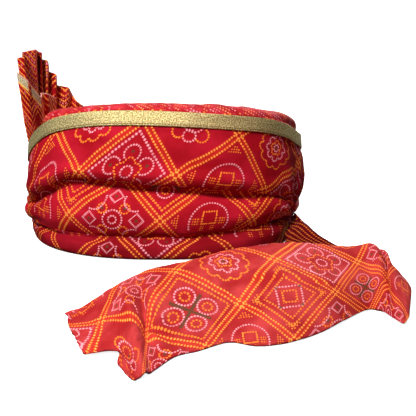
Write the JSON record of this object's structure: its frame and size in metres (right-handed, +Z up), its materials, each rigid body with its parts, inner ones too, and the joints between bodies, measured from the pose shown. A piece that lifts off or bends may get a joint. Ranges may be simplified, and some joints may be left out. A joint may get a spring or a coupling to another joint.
{
  "type": "tied turban pagri",
  "caption": "Ready-tied turban of wound red tie-dyed cloth with a gold ribbon, a pleated fan and a loose tail lying across the front.",
  "frame": {"origin": "bottom centre of the whole part's box, on the surface it stands on", "axes": "+X along the head opening's long way from the fan to the tail's root, +Y away from the side that shows, +Z up"},
  "size_m": [0.3376, 0.495, 0.1766],
  "materials": {
    "wrap_cloth": "soft tie-dyed cotton with rows of orange dots",
    "crown_cloth": "plain soft red cotton",
    "gold_ribbon": "woven metallic braid",
    "fan_cloth": "pleated tie-dyed cotton with a gold border",
    "tail_cloth": "soft tie-dyed cotton with rows of orange dots"
  },
  "bodies": {
    "root": {"lower_wrap": "wrap_cloth", "middle_wrap": "wrap_cloth", "upper_wrap": "wrap_cloth", "rim_roll": "wrap_cloth", "crown_cap": "crown_cloth", "gold_ribbon": "gold_ribbon", "turra_tall_pleats": "fan_cloth", "turra_short_pleats": "fan_cloth", "tail": "tail_cloth"}
  },
  "joints": []
}
